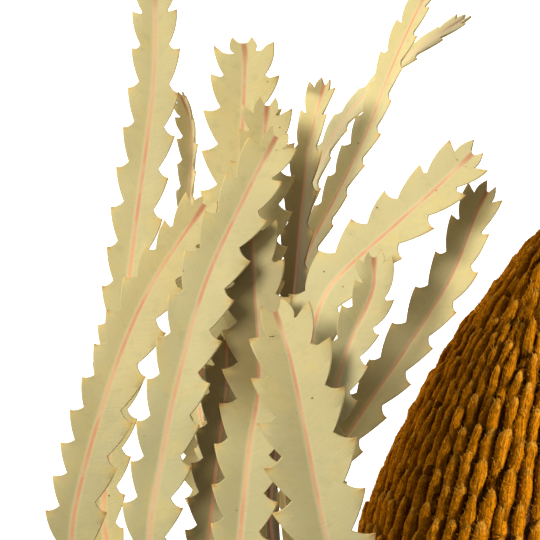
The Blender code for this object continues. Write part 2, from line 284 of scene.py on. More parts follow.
def leaf_veins(g, along, side):
    """A noise in slanting lanes, which wander a little, as side veins do."""
    slant = g.math("SUBTRACT", along, g.times(side, 0.5))
    wander = g.times(g.math("SUBTRACT", g.noise(260.0, 2.0), 0.5), VEIN_WANDER)
    lane = g.math("DIVIDE", g.math("ADD", slant, wander), VEIN_SPACING)
    return g.noise(1.0, 2.0, g.add("CombineXYZ", X=lane, Y=g.times(side, 0.25)))


def leaf_finish():
    g = Graph("dry_leaf", 0.6, Specular_IOR_Level=0.25)
    along, across, margin, point = g.stored("along", "across", "margin", "point")
    under, tone, share = g.stored("under", "tone", "share")
    side = g.math("ABSOLUTE", across)

    veins = leaf_veins(g, along, side)
    colour = g.mix(g.ramp(veins, 0.5, 0.8, 0.0, 0.07), leaf_ground(g, share), PAINTED_SHADE_AND_VEINS)
    colour = g.mix(g.ramp(margin, 0.93, 1.0, 0.0, 0.6), colour, MARGIN_BROWN)
    # Painted shade, with some browning in it: the stored value darkens the blade where it lies deep
    # in the bunch.
    colour = g.mix(tone, colour, PAINTED_SHADE_AND_VEINS)

    rib_half = g.times(g.math("SUBTRACT", 1.15, g.times(share, 0.5)), RIB_HALF_WIDTH)
    rib_edge = g.math("DIVIDE", side, rib_half)
    halo = g.times(g.ramp(rib_edge, 2.8, 1.0), g.math("SUBTRACT", 0.6, tone))
    colour = g.mix(g.math("MAXIMUM", halo, 0.0), colour, MIDRIB_BORDER)
    pink = g.mix(g.ramp(g.noise(60.0, 2.0), 0.38, 0.62), MIDRIB_PINK, MIDRIB_TAN)
    pink = g.mix(g.ramp(g.noise(210.0, 2.0), 0.5, 0.72, 0.0, 0.45), pink, MIDRIB_BORDER)
    # Painted shade on the midrib, with some browning, by the same stored value.
    pink = g.mix(g.times(tone, 0.8), pink, MIDRIB_SHADE_AND_BROWN)
    colour = g.mix(g.times(g.ramp(rib_edge, 1.15, 0.7), 0.85), colour, pink)
    withered = g.times(g.ramp(share, 0.955, 0.995), g.ramp(side, 0.8, 0.3))
    colour = g.mix(g.times(withered, 0.65), colour, WITHERED_RED)

    specks = g.add("TexVoronoi", Vector=g.place(), Scale=330.0)
    speck = g.times(g.ramp(specks, 0.085, 0.04), g.ramp(g.noise(90.0), 0.52, 0.6))
    colour = g.mix(speck, colour, SPECK_BROWN)
    colour = g.mix(g.ramp(point, 0.1, 0.8, 0.0, 0.6), colour, TIP_GOLD)
    browned = g.times(g.ramp(point, 0.45, 1.0), g.ramp(g.noise(170.0), 0.4, 0.62))
    colour = g.mix(g.math("MINIMUM", browned, 0.85), colour, TIP_BROWN)
    colour = g.mix(g.times(under, 0.7), colour, FELT_GREY)

    relief = g.math("ADD", g.times(veins, -1.0), g.times(g.noise(1500.0), 0.5))
    return g.finish(colour, relief, 0.06)


leaf_look = leaf_finish()

# %% [markdown]
# A leaf grows along a smooth line, its midrib, from the stem out to its tip. These are the lines
# of the solids, some of them set a little nearer to the real leaves. A row gives the stem that the
# leaf sits on, how far along it and on which side, and the half width across the teeth. Then come
# the lag of the last tooth behind the tip and the pitch of the teeth, first on the left edge and
# then on the right one, the bank and the fold of the blade in degrees, and the points that the
# midrib passes. The rows after them paint shade on the leaf, with some browning of the dry leaf in
# it, as (share of its length, left half, right half), and the last number makes its right half
# wider.

# %% The lines of the stem and leaves
STEM_ROUTE = [
    (-2.7, -22.1, 36.6, 4.8),
    (-5.0, -36.0, 35.4, 4.0),
    (-9.0, -56.0, 31.0, 3.8),
    (-15.0, -80.0, 22.5, 3.9),
    (-22.0, -104.0, 12.0, 4.0),
    (-29.0, -126.0, 5.6, 4.1),
    (-34.0, -142.0, 4.3, 4.2),
]
SHOOT_ROUTE = [
    (-15.0, -80.0, 22.5, 2.9),
    (-26.0, -68.0, 25.5, 2.8),
    (-38.0, -52.0, 28.5, 2.6),
    (-47.0, -34.0, 30.5, 2.4),
    (-52.0, -16.0, 32.0, 2.1),
    (-54.0, 4.0, 33.5, 1.5),
]


@dataclass
class Leaf:
    stem: str
    along: float
    clock: float
    half_width: float
    left_teeth: tuple
    right_teeth: tuple
    bank: float
    fold: float
    via: list
    # Painted shade with some browning, as rows of (share of the length, left half, right half).
    shades_and_brown: tuple = ((0.0, 0.0, 0.0),)
    right_share: float = 1.0


LEAVES = {
    "leaf_front": Leaf("shoot", 45, 20, 9.7, (-2.4, 9.2), (0.8, 10.5), 8, 14, [
        (-38, -24, 50), (-37.6, -6, 59), (-40.2, 7, 63), (-43, 18, 64), (-46.8, 38, 64.5),
        (-49.4, 50, 64), (-52, 57.8, 63),
    ], ((0.3, 0.12, 0.12), (0.7, 0.05, 0.05), (0.9, 0.0, 0.0))),
    "leaf_centre": Leaf("shoot", 50, -25, 6.5, (-2.8, 8.8), (1.6, 9.2), 0, 10, [
        (-62, -22, 45), (-72.4, -8, 53), (-76.6, 12, 58), (-74, 30, 59), (-71.6, 42, 59.5),
        (-65.8, 63, 59), (-57.6, 81, 57), (-51.8, 92.2, 55),
    ]),
    "leaf_outer": Leaf("shoot", 40, -75, 6, (2.4, 7.1), (0.8, 10.3), 0, 9, [
        (-60, -38, 36), (-79, -22, 40), (-91.2, -4, 44), (-92.4, 12, 46), (-90.2, 25, 47),
        (-84, 45.6, 48), (-76.8, 62.4, 48), (-66, 79, 47),
    ], ((0.35, 0.05, 0.05), (0.55, 0.2, 0.2), (0.8, 0.08, 0.08)), 1.12),
    "leaf_tall": Leaf("shoot", 54, -100, 5.5, (1.2, 8.4), (0.6, 8.7), 0, 8, [
        (-66, -22, 31), (-79, -8, 34), (-85.8, 12, 36.5), (-85.8, 26, 37.5), (-82.6, 52, 38.5),
        (-80.4, 71, 39), (-76.8, 98, 39.5), (-76, 110, 39.5), (-76, 124.4, 39),
    ]),
    "leaf_middle": Leaf("shoot", 62, 5, 7.4, (0, 8.4), (2.4, 8.4), 0, 12, [
        (-57, -12, 44), (-60, 2, 51), (-59, 12, 53), (-57.2, 30, 53.5), (-55.2, 44, 53.5),
        (-56, 62, 53), (-57, 75.6, 52.5),
    ], ((0.0, 0.0, 0.0), (0.6, 0.0, 0.0), (0.72, 0.7, 0.35), (1.0, 0.75, 0.4))),
    "leaf_crown": Leaf("shoot", 82, -60, 8.3, (0.9, 8.3), (1.2, 7.5), 0, 9, [
        (-59.5, 14, 35.5), (-61, 36, 39.5), (-60.2, 60, 41.5), (-59, 84, 42.5),
        (-58, 106, 43), (-58.2, 111.2, 43),
    ]),
    "leaf_crown_small": Leaf("shoot", 92, 0, 6.8, (0, 7.4), (2, 7.4), 4, 10, [
        (-55.6, 14, 41), (-57, 30, 43), (-56.8, 60, 43.6), (-54.8, 84, 46), (-53.6, 98.6, 47.5),
    ], ((0.0, 0.05, 0.05),)),
    "leaf_dark": Leaf("shoot", 84, 120, 5.1, (0.5, 8.4), (0, 8.4), -47, 16, [
        (-52.4, 14, 32.5), (-50.8, 36, 34.5), (-48, 60, 36), (-46.4, 78, 37), (-45, 90, 38),
        (-43.2, 98, 38.5), (-41.8, 103, 38.5),
    ], ((0.0, 1.0, 1.0), (0.6, 1.0, 0.95), (0.82, 0.8, 0.7), (0.92, 0.1, 0.15),
        (0.975, 0.1, 0.15), (0.985, 0.6, 0.2))),
    "leaf_pale": Leaf("shoot", 74, 80, 7.2, (-4.4, 8.8), (0.2, 9.8), -28, 12, [
        (-46.4, 6, 36), (-46, 20, 41.5), (-45.4, 36, 47), (-44.9, 49, 50), (-43.2, 58, 51.2),
        (-39.2, 64.6, 51.2), (-27.6, 75.2, 49.5), (-20.5, 81.6, 50), (-12.8, 88.9, 50.5),
    ]),
    "leaf_curled": Leaf("shoot", 88, 35, 5.1, (0, 7.6), (2, 7.6), 4, 18, [
        (-48, 11, 43.5), (-44.5, 24, 52), (-42.6, 34, 56), (-40.4, 42, 57.5), (-38.2, 49.4, 58),
        (-36.2, 54.4, 58.3), (-33.8, 59.4, 58.5), (-32.6, 63.4, 58.8), (-32.6, 68.4, 58),
    ]),
    "leaf_shaded": Leaf("shoot", 64, 100, 5.9, (0.8, 9.2), (2, 8.8), -30, 15, [
        (-42, 0, 33), (-42.6, 14, 36.5), (-41, 26, 39), (-35.7, 35.3, 40), (-26.3, 49.1, 40),
        (-17, 63.7, 40), (-11.7, 76.8, 40.5), (-9.5, 81.6, 41),
    ], ((0.0, 0.4, 0.3), (0.45, 0.35, 0.0), (1.0, 0.5, 0.0))),
    "leaf_back_long": Leaf("shoot", 70, 150, 4.5, (-1.5, 7.2), (0, 7.2), -46, 18, [
        (-47, -2, 25), (-49, 16, 23.5), (-50, 34, 23), (-49, 52, 23), (-45, 69, 24),
        (-39.4, 80.6, 25), (-33.2, 93.4, 26), (-28.8, 105, 26.5), (-24, 116, 27), (-20, 124, 27),
    ]),
    "leaf_back_edge": Leaf("shoot", 64, 170, 4.6, (0, 7.2), (1, 7.2), -65, 8, [
        (-47, -10, 21), (-45, 10, 15), (-45, 30, 12), (-46.5, 52, 11), (-47, 70, 11),
        (-43.5, 85, 11.5), (-38, 96, 12), (-30, 105, 13), (-22, 111.6, 14), (-13.4, 117.2, 14),
    ]),
    "leaf_edge_left": Leaf("shoot", 78, -140, 4.2, (0, 5.6), (1, 5.6), -56, 24, [
        (-57, 0, 26), (-62, 16, 26), (-66.5, 36, 27), (-69.5, 58, 28), (-69.2, 76, 29),
        (-68.4, 90, 30), (-69, 97, 30.5), (-70.4, 101, 30.5),
    ], ((0.0, 0.2, 0.2), (1.0, 0.05, 0.05))),
    "leaf_under_middle": Leaf("shoot", 72, -35, 5.2, (0, 7.2), (2, 7.2), 0, 10, [
        (-60, -4, 41), (-65, 8, 47), (-64.6, 18, 49.5), (-63, 32, 50), (-61.8, 41.6, 50),
        (-61.5, 52, 49),
    ], ((0.0, 0.3, 0.2), (0.5, 0.45, 0.25), (0.65, 0.8, 0.8))),
    "leaf_low_middle": Leaf("shoot", 86, 180, 6.5, (0, 8), (2, 8), 0, 8, [
        (-64, 12, 21), (-67.5, 32, 15), (-66.5, 56, 11), (-66, 76, 10),
    ], ((0.0, 0.0, 0.0), (0.4, 0.0, 0.0), (0.6, 0.6, 0.6))),
    "leaf_splayed": Leaf("shoot", 34, -120, 6.2, (0, 7.8), (2, 7.8), 0, 8, [
        (-52, -50, 20), (-68, -40, 9), (-86, -28, 3), (-104, -16, 0.45),
    ], ((0.0, 0.1, 0.1),)),
    "leaf_cone_side": Leaf("stem", 12, 95, 7.4, (0, 8.8), (2, 8.8), 20, 10, [
        (16, -34, 34), (36, -22, 30), (50, 0, 28), (54, 28, 30), (50, 54, 33),
    ], ((0.0, 0.1, 0.1),)),
    "leaf_cone_low": Leaf("stem", 26, 130, 7.2, (0, 8.6), (3, 8.6), 0, 8, [
        (10, -44, 23), (28, -32, 10), (48, -12, 3), (63, 14, 1), (71, 38, 0.45),
    ], ((0.0, 0.15, 0.15),)),
    "leaf_cone_top": Leaf("stem", 16, 25, 7.4, (0, 8.8), (2, 8.8), 12, 10, [
        (4, -44, 52), (15, -36, 67), (25, -18, 79), (31, 6, 85), (32, 30, 85),
    ]),
    "leaf_cone_under": Leaf("stem", 24, -120, 6.0, (0, 7.6), (2, 7.6), 0, 8, [
        (-18, -47, 24), (-27, -34, 14), (-33, -18, 8), (-34, 1, 5),
    ], ((0.0, 0.25, 0.25),)),
    "leaf_stem_right": Leaf("stem", 48, 75, 6.6, (0, 8.2), (3, 8.2), 10, 10, [
        (2, -66, 28), (19, -57, 24), (39, -44, 20), (58, -26, 18), (72, -4, 19),
    ], ((0.0, 0.05, 0.05),)),
    "leaf_stem_low": Leaf("stem", 84, 50, 5.0, (0, 7), (1, 7), -10, 12, [
        (-10, -98, 21), (0, -86, 25), (9, -70, 28), (16, -54, 30),
    ], ((0.0, 0.2, 0.2),)),
}
print("leaves:", len(LEAVES))

# %% [markdown]
# A line has to pass through every point it is given, so it is a chain of cubic curves: the slope
# at each point comes from the points before and after it. The distances along it are measured
# once, so a place on it can be asked for in millimetres, and beyond its ends it goes straight on.
# The line of a stem carries its radius along as a fourth number.

# %% A smooth line
LINE_STEPS = 12


class Line:
    """A smooth line through points, read at a distance along it."""

    def __init__(self, points):
        points = np.array(points, float)
        padded = np.vstack([2 * points[0] - points[1], points, 2 * points[-1] - points[-2]])
        spans = []
        for p0, p1, p2, p3 in zip(padded, padded[1:], padded[2:], padded[3:]):
            t = np.linspace(0, 1, LINE_STEPS, endpoint=False)[:, None]
            spans.append(0.5 * (
                2 * p1 + (p2 - p0) * t
                + (2 * p0 - 5 * p1 + 4 * p2 - p3) * t**2
                + (3 * p1 - p0 - 3 * p2 + p3) * t**3
            ))
        self.line = np.vstack([*spans, points[-1]])
        steps_long = np.linalg.norm(np.diff(self.line[:, :3], axis=0), axis=1)
        self.reached = np.concatenate([[0.0], np.cumsum(steps_long)])
        self.length = self.reached[-1]
        self.heading = np.gradient(self.line[:, :3], self.reached, axis=0)

    def at(self, distance):
        """The points, and the directions there, for an array of distances."""
        inside = np.clip(distance, 0, self.length)
        spot = np.stack([np.interp(inside, self.reached, c) for c in self.line.T], -1)
        along = np.stack([np.interp(inside, self.reached, c) for c in self.heading.T], -1)
        along /= np.linalg.norm(along, axis=-1, keepdims=True)
        spot[..., :3] += (np.asarray(distance) - inside)[..., None] * along
        return spot, along


STEMS = {"stem": Line(STEM_ROUTE), "shoot": Line(SHOOT_ROUTE)}
print("stem %.0f mm, shoot %.0f mm" % (STEMS["stem"].length, STEMS["shoot"].length))

# %% [markdown]
# The edge of a blade is a row of teeth that point forwards. Their tips and the hollows between
# them are set first, counted back from the leaf's end, because the end has its own pattern: a
# prong, a hollow and a broad last tooth on each edge, and two closer gaps behind it. The blade is
# a long wedge, widest from the middle to the blunt tip, and has no teeth near its foot.

# %% The teeth of an edge
FOOT_HALF_WIDTH = 0.7
TOOTHLESS_SHARE = 0.2
FULL_WIDTH_SHARE = 0.6
SINUS_WIDTH = 0.58
TOOTH_BACK = 0.17
TIP_BACKS = (-0.02, 0.08)
TIP_GAPS = (0.65, 0.88)
CROWDED = 0.46
FOOT_PITCH = 0.8
TIP_SINUS_BACK = 0.23
TIP_SINUS_WIDTH = 0.31
TIP_TOOTH_WIDTH = 0.72
TIP_TAPER = 0.13
PRONG_AHEAD = 0.2
PRONG_WIDTH = 0.24


def half_width_at(share, leaf):
    """The half width across the teeth: a long wedge from the foot, and a blunt tip."""
    climb = np.clip(share / FULL_WIDTH_SHARE, 0, 1)
    wedge = climb * climb * (3 - 2 * climb)
    blunt = np.minimum(1.0, TIP_TOOTH_WIDTH + (1 - TIP_TOOTH_WIDTH) * (1 - share) / TIP_TAPER)
    return FOOT_HALF_WIDTH + (leaf.half_width - FOOT_HALF_WIDTH) * wedge * blunt


def edge_corners(leaf, length, lag, pitch, rng):
    """Tips and hollows of one edge, foot first, as (distance, half width, is a tip)."""
    tooth = length - lag - TIP_GAPS[0] * pitch
    crowded = length - tooth < CROWDED * pitch
    last_tooth = tooth if crowded else length
    prong_ahead = PRONG_AHEAD * pitch * rng.uniform(0.7, 1.3)
    prong_width = PRONG_WIDTH * leaf.half_width * rng.uniform(0.8, 1.2)
    sinus_width = TIP_SINUS_WIDTH * leaf.half_width * rng.uniform(0.8, 1.2)
    corners = [
        (length + prong_ahead, prong_width, True),
        (last_tooth - TIP_SINUS_BACK * pitch, sinus_width, False),
        (last_tooth, half_width_at(1.0, leaf), True),
    ]
    gaps = list(TIP_GAPS[1:] if crowded else TIP_GAPS)
    backs = list(TIP_BACKS)
    tooth = last_tooth if crowded else length - lag
    while tooth > TOOTHLESS_SHARE * length + pitch:
        gap = gaps.pop(0) if gaps else FOOT_PITCH + (1 - FOOT_PITCH) * tooth / length
        tooth -= gap * pitch
        back = backs.pop(0) if backs else TOOTH_BACK
        width = half_width_at(tooth / length, leaf)
        corners.append((tooth + back * pitch, SINUS_WIDTH * width * rng.uniform(0.93, 1.07), False))
        corners.append((tooth, width * rng.uniform(0.95, 1.04), True))
    return corners[::-1]


trial_leaf, trial_length = LEAVES["leaf_front"], 100.0
trial = edge_corners(trial_leaf, trial_length, 0.0, 10.0, np.random.RandomState(0))
print("one edge of a trial blade: %d corners" % len(trial))

# %% [markdown]
# Curves join the corners. A tooth has a long outer edge that swells a little, and a short inner
# one that is scooped out, so that its tip is sharp. Towards the end of the leaf both bend more,
# which hooks the teeth. Between the prongs of the two edges, the midrib ends in a notch. A rung of
# the mesh joins each point of an edge to a point of the midrib a little behind it, which is how
# the side veins of a real leaf run, so a row of the edge holds both places.

# %% The curve of an edge
FOOT_RUNGS = (-4.2, -2.8, -1.4)
FOOT_SAMPLES = 10
VEIN_SLANT = 0.3
LEAST_RUNG_STEP = 0.12
TOOTH_SWELL = 0.07
SWELL_WAY = np.array((-0.25, 1.0))
TOOTH_SCOOP = 0.09
SCOOP_WAY = np.array((-1.0, -0.35))
TIP_HOOK = 0.1
HOOKED_CORNERS = 7
TIP_FAN = 0.5
OUTER_SAMPLES = 6
INNER_SAMPLES = 4
NOTCH_SAMPLES = 3


def edge_curve(leaf, length, lag, pitch, rng):
    """The edge as rows of (midrib distance, distance, half width, nearness to a tooth's tip)."""
    corners = edge_corners(leaf, length, lag, pitch, rng)
    wedge = 0.5 * TOOTHLESS_SHARE * length
    rows = [(at, at, FOOT_HALF_WIDTH * (1 - 0.08 * at), 0.0) for at in FOOT_RUNGS]
    for t in np.linspace(0, 1, FOOT_SAMPLES):
        rows.append((wedge * t, wedge * t, half_width_at(wedge * t / length, leaf), 0.0))
    last_spot, last_key = np.array(rows[-1][1:3]), rows[-1][0]
    tip_start = length - TIP_FAN * leaf.half_width
    tip_keys = [tip_start + t * (length - tip_start) for t in (0.0, 0.4, 0.75)]
    for k, (distance, width, is_tip) in enumerate(corners):
        spot = np.array((distance, width))
        from_tip = k - (len(corners) - len(tip_keys))
        if from_tip >= 0:
            key = tip_keys[from_tip]
        else:
            key = min(distance - VEIN_SLANT * width, tip_start - 0.3 * (length - distance) / pitch)
        key = max(key, last_key + LEAST_RUNG_STEP)
        hook = TIP_HOOK * max(0.0, 1 + (from_tip - 2) / HOOKED_CORNERS)
        if is_tip:
            bow = SWELL_WAY * (TOOTH_SWELL + hook)
        else:
            bow = SCOOP_WAY * (TOOTH_SCOOP + hook)
        bend = (last_spot + spot) / 2 + bow * pitch
        count = OUTER_SAMPLES if is_tip else INNER_SAMPLES
        for step in range(1, count + 1):
            t = step / count
            drawn = (1 - t) ** 2 * last_spot + 2 * t * (1 - t) * bend + t**2 * spot
            point = t**4 if is_tip else (1 - t) ** 2
            rows.append((last_key + t * (key - last_key), *drawn, point))
        last_spot, last_key = spot, key
    for step in range(1, NOTCH_SAMPLES + 1):
        t = step / NOTCH_SAMPLES
        ahead = (last_spot[0] - length) * (1 - t) ** 2.5
        key = last_key + t * (length - last_key)
        rows.append((key, length + ahead, last_spot[1] * (1 - t), 0.3))
    return np.array(rows)


trial = edge_curve(trial_leaf, trial_length, 0.0, 10.0, np.random.RandomState(0))
print("and as a curve: %d points" % len(trial))

# %% [markdown]
# A leaf starts a little off the bark of its stem, on the side that its clock angle says, and bends
# towards the stem's tip before it follows its own points. Rows before its first point run straight
# back into the bark, so the foot is well sunk in.

# %% The midrib of a leaf
FOOT_STANDOFF = 1.15
FOOT_RISE = 3.2
FOOT_RUN = 6.0


def unit(vectors):
    return vectors / np.linalg.norm(vectors, axis=-1, keepdims=True)


def leaf_line(leaf):
    """The midrib's line, from the bark of its stem through the leaf's own points."""
    spot, along = STEMS[leaf.stem].at(np.array(float(leaf.along)))
    growth = along if leaf.stem == "shoot" else -along
    right = unit(np.cross(growth, (0, 0, 1)))
    clock = math.radians(leaf.clock)
    outward = math.cos(clock) * np.cross(right, growth) + math.sin(clock) * right
    start = spot[:3] + (spot[3] + FOOT_STANDOFF) * outward
    bend = start + FOOT_RISE * outward + FOOT_RUN * growth
    return Line([start, bend, *leaf.via])


print("front leaf: %.0f mm long" % leaf_line(trial_leaf).length)

# %% [markdown]
# One half of a blade is a grid of points between the midrib and an edge, drawn at three levels:
# the upper face, the middle, and the lower face. Its columns crowd together at the midrib, which
# stands proud above and more so below. The blade is folded upwards a little along the midrib, it
# ripples, and some teeth lift while others droop. That relief goes by the place on the leaf and
# not by the rungs, so it stays smooth where the rungs fan out into a tooth.

# %% Half a blade
RIB_COLUMNS = np.array([0.0, 0.35, 0.7, 1.1])
RIB_CAPS = np.array([0.0, 0.15, 0.28, 0.42])
BLADE_COLUMNS = np.array([0.33, 0.66, 0.94, 1.0])
RIB_RISE = 0.22
RIB_DROP = 0.55
RIB_REACH = 0.6
BLADE_THICK = 0.55
MARGIN_THICK = 0.3
STALK_THICK = 0.7
STALK_LENGTH = 6.0
TOOTH_DROOP = 0.3
TOOTH_LIFT = 0.4
LIFTS = 24
RIPPLE = 0.3
RIPPLE_LENGTH = 23.0


def half_blade(leaf, line, side, edge, keys, phase, rng):
    """The upper, middle and lower points of the left (-1) or right (1) half, and their values."""
    length = line.length
    reach, width, point = (np.interp(keys, edge[:, 0], edge[:, k]) for k in (1, 2, 3))
    width = np.maximum(width, 1e-4) * (leaf.right_share if side > 0 else 1.0)
    near = np.minimum(RIB_COLUMNS[None, :], RIB_CAPS[None, :] * width[:, None])
    far = near[:, -1:] + (width[:, None] - near[:, -1:]) * BLADE_COLUMNS[None, :]
    across = np.concatenate([near, far], 1)
    share = across / width[:, None]
    distance = keys[:, None] + (reach - keys)[:, None] * share

    spot, along = line.at(distance)
    level = unit(np.cross(along, (0, 0, 1)))
    lift = np.cross(level, along)
    bank, fold = math.radians(leaf.bank), math.radians(leaf.fold)
    sideways = math.cos(bank) * level - math.sin(bank) * lift
    upwards = math.cos(bank) * lift + math.sin(bank) * level

    part = across / leaf.half_width
    outward = np.clip(across / half_width_at(distance / length, leaf), 0, 1)
    arch = leaf.half_width * (1.3 * part - 0.3 * part**3)
    rise = math.sin(fold) * arch - TOOTH_DROOP * outward**6 * part
    wave = np.sin(2 * math.pi * distance / RIPPLE_LENGTH + phase + side)
    rise = rise + RIPPLE * wave * (part**2)
    lifts = np.interp(distance, np.linspace(0, length, LIFTS), rng.uniform(-1, 1, LIFTS))
    rise = rise + TOOTH_LIFT * lifts * np.clip(2 * outward - 1, 0, 1) ** 2
    flat = spot + (side * math.cos(fold) * across)[..., None] * sideways
    middle = flat + rise[..., None] * upwards

    slim = 1 - 0.5 * distance / length
    swell = np.exp(-(across / (RIB_REACH * slim)) ** 2) * slim
    thick = BLADE_THICK + (MARGIN_THICK - BLADE_THICK) * outward**2
    stalk = np.exp(-(np.maximum(distance, 0) / STALK_LENGTH) ** 2)
    thick += STALK_THICK * stalk * np.sqrt(1 - 0.97 * share**2)
    top = middle + (thick / 2 + RIB_RISE * swell)[..., None] * upwards
    bottom = middle - (thick / 2 + RIB_DROP * swell)[..., None] * upwards
    # The painted shade, with some browning in it, along each half of the blade.
    shares, *half_shades_and_brown = np.array(leaf.shades_and_brown).T
    return (top, middle, bottom), {
        "tone": np.interp(distance / length, shares, half_shades_and_brown[side > 0]),
        "along": distance, "across": side * across, "margin": share,
        "point": point[:, None] * share**3, "share": np.clip(distance / length, 0, 1),
    }


print("blade columns on each side:", len(RIB_COLUMNS) + len(BLADE_COLUMNS))

# %% [markdown]
# Both halves use the same rungs. Their points are joined into one closed skin: the halves share
# the midrib's column, the two faces share one column along each edge, and one face closes the
# foot. A fixed seed for each leaf draws the same teeth at every run.

# %% The skin of a blade
LEAST_KEY_GAP = 0.028


def store(mesh, name, values, kind="FLOAT"):
    """Keeps a value on each point of a mesh under a name, for a finish or a tree to read."""
    field = "vector" if kind == "FLOAT_VECTOR" else "value"
    row = np.ravel(np.array(values, np.float32))
    mesh.attributes.new(name, kind, "POINT").data.foreach_set(field, row)


def leaf_mesh(name, leaf, seed):
    rng = np.random.RandomState(seed)
    line = leaf_line(leaf)
    teeth = {-1: leaf.left_teeth, 1: leaf.right_teeth}
    edges = {side: edge_curve(leaf, line.length, *teeth[side], rng) for side in teeth}
    keys = np.unique(np.round(np.concatenate([e[:, 0] for e in edges.values()]), 3))
    keys = keys[np.concatenate([[True], np.diff(keys) > LEAST_KEY_GAP])]
    keys[-1] = line.length
    phase = rng.uniform(0, 2 * math.pi)
    halves = {side: half_blade(leaf, line, side, edges[side], keys, phase, rng) for side in edges}

    rows, last = len(keys), len(RIB_COLUMNS) + len(BLADE_COLUMNS) - 1
    points, kept, index = [], {key: [] for key in (*halves[1][1], "under")}, {}
    for i in range(rows):
        for face in (0, 2):
            for side, (levels, values) in halves.items():
                for j in range(last + 1):
                    if j == 0 and side == 1:
                        index[i, face, side, j] = index[i, face, -1, 0]
                    elif j == last and face == 2:
                        index[i, face, side, j] = index[i, 0, side, j]
                    else:
                        index[i, face, side, j] = len(points)
                        points.append(MM * levels[1 if j == last else face][i, j])
                        for key, value in values.items():
                            kept[key].append(value[i, j])
                        kept["under"].append(face / 2)

    quads = []
    for i in range(rows - 1):
        for face in (0, 2):
            for side in (-1, 1):
                for j in range(last):
                    ring = [(i, j), (i, j + 1), (i + 1, j + 1), (i + 1, j)]
                    ring = [index[a, face, side, b] for a, b in ring]
                    quads.append(ring if (side == 1) == (face == 0) else ring[::-1])
    foot = [(0, -1, j) for j in range(last, -1, -1)] + [(0, 1, j) for j in range(1, last + 1)]
    foot += [(2, 1, j) for j in range(last - 1, -1, -1)] + [(2, -1, j) for j in range(1, last)]
    quads.append([index[0, face, side, j] for face, side, j in foot])
    mesh = bpy.data.meshes.new(name)
    mesh.from_pydata(points, [], quads)
    for key, values in kept.items():
        store(mesh, key, values)
    return mesh


blades = {name: leaf_mesh(name, leaf, seed) for seed, (name, leaf) in enumerate(LEAVES.items())}
print("points on the front leaf:", len(blades["leaf_front"].vertices))

# %% [markdown]
# The leaves, the core and the bark are finished in the same way. Points that coincide are merged,
# which closes the skin where a rung shrinks to nothing, as in the notch, and all faces are turned
# outwards. The mesh is shaded smooth, apart from edges that turn by more than 33 degrees, where
# smoothing would draw dark lines. Every piece then rides with the part and stands in the place of
# its solid.

# %% All the leaves
MERGE_WITHIN = 2e-6
SHARP_ANGLE = math.radians(33)


def settle(mesh):
    """Merges the points that coincide, closes the mesh and turns all its faces outwards."""
    bm = bmesh.new()
    bm.from_mesh(mesh)
    bmesh.ops.remove_doubles(bm, verts=bm.verts, dist=MERGE_WITHIN)
    bmesh.ops.dissolve_degenerate(bm, edges=bm.edges, dist=MERGE_WITHIN / 2)
    bmesh.ops.recalc_face_normals(bm, faces=bm.faces)
    bm.to_mesh(mesh)
    bm.free()
    mesh.shade_smooth()
    mesh.set_sharp_from_angle(angle=SHARP_ANGLE)
    return mesh


def add_piece(name, mesh, look, node):
    """Links a finished mesh as a piece that rides with the part and stands for its solid."""
    piece = bpy.data.objects.new(name, mesh)
    scene.collection.objects.link(piece)
    mesh.materials.clear()
    mesh.materials.append(look)
    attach(piece, "root")
    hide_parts(node)
    mesh.calc_loop_triangles()
    print("%-22s %6d triangles" % (name, len(mesh.loop_triangles)))
    return piece


for name, skin in blades.items():
    blade = add_piece("blade" + name[4:], settle(skin), leaf_look, name)
    if name == "leaf_outer":
        exclude(blade, key_passes)

# %% [markdown]
# The florets of a banksia cone stand in upright columns. Each is a woolly nub, leaning to the
# cone's tip and lying over the foot of the next like a shingle. The nub is modelled once, as a
# closed club that starts deep in the core. Its own X points to the cone's tip, its Z outwards.
# Three values on its points tell the finish where a spot is: how far along the nub, how near its
# flanks, and how far round it.

# %% One floret
NUB_BACK = 6.4
NUB_LENGTH = 14.4
NUB_SINK = 3.2
NUB_RISE = 1.3
NUB_HALF_WIDTH = 2.0
NUB_HALF_THICK = 1.6
NUB_RINGS = 8
NUB_SIDES = 10


def nub_mesh():
    bm = bmesh.new()
    reach, flank, around = (bm.verts.layers.float.new(n) for n in ("reach", "flank", "around"))
    rings = []
    for i in range(NUB_RINGS):
        share = math.sin(0.5 * math.pi * i / (NUB_RINGS - 0.75))
        swell = (0.72 + 0.28 * share) * math.sqrt(max(0.0, 1 - share**5))
        rise = NUB_RISE * share**1.6 - NUB_SINK
        centre = Vector((NUB_LENGTH * share - NUB_BACK, 0.0, rise))
        ring = []
        for j in range(NUB_SIDES):
            angle = 2 * math.pi * j / NUB_SIDES
            out = (0.0, NUB_HALF_WIDTH * math.cos(angle), NUB_HALF_THICK * math.sin(angle))
            vert = bm.verts.new(centre + swell * Vector(out))
            vert[reach] = share
            vert[flank] = 1.0 if math.sin(angle) < -0.1 else abs(math.cos(angle))
            vert[around] = j / NUB_SIDES
            ring.append(vert)
        rings.append(ring)
    tip = bm.verts.new((NUB_LENGTH - NUB_BACK, 0.0, NUB_RISE - NUB_SINK))
    tip[reach] = 1.0
    for a, b in zip(rings, rings[1:]):
        for j in range(NUB_SIDES):
            k = (j + 1) % NUB_SIDES
            bm.faces.new((a[j], a[k], b[k], b[j]))
    for j in range(NUB_SIDES):
        bm.faces.new((rings[-1][j], rings[-1][(j + 1) % NUB_SIDES], tip))
    bm.faces.new(rings[0][::-1])
    bmesh.ops.recalc_face_normals(bm, faces=bm.faces)
    bmesh.ops.scale(bm, verts=bm.verts, vec=(MM, MM, MM))
    mesh = bpy.data.meshes.new("nub")
    bm.to_mesh(mesh)
    bm.free()
    mesh.shade_smooth()
    return mesh


nub_shape = nub_mesh()
print("nub: %d faces" % len(nub_shape.polygons))

# %% [markdown]
# The cone has the same dome as its solid: a round skirt near the foot, then a long dome up to the
# tip. Its outline is kept as radius and height, evenly spaced, and its axis lies level, turned a
# few degrees from the photograph's upright.

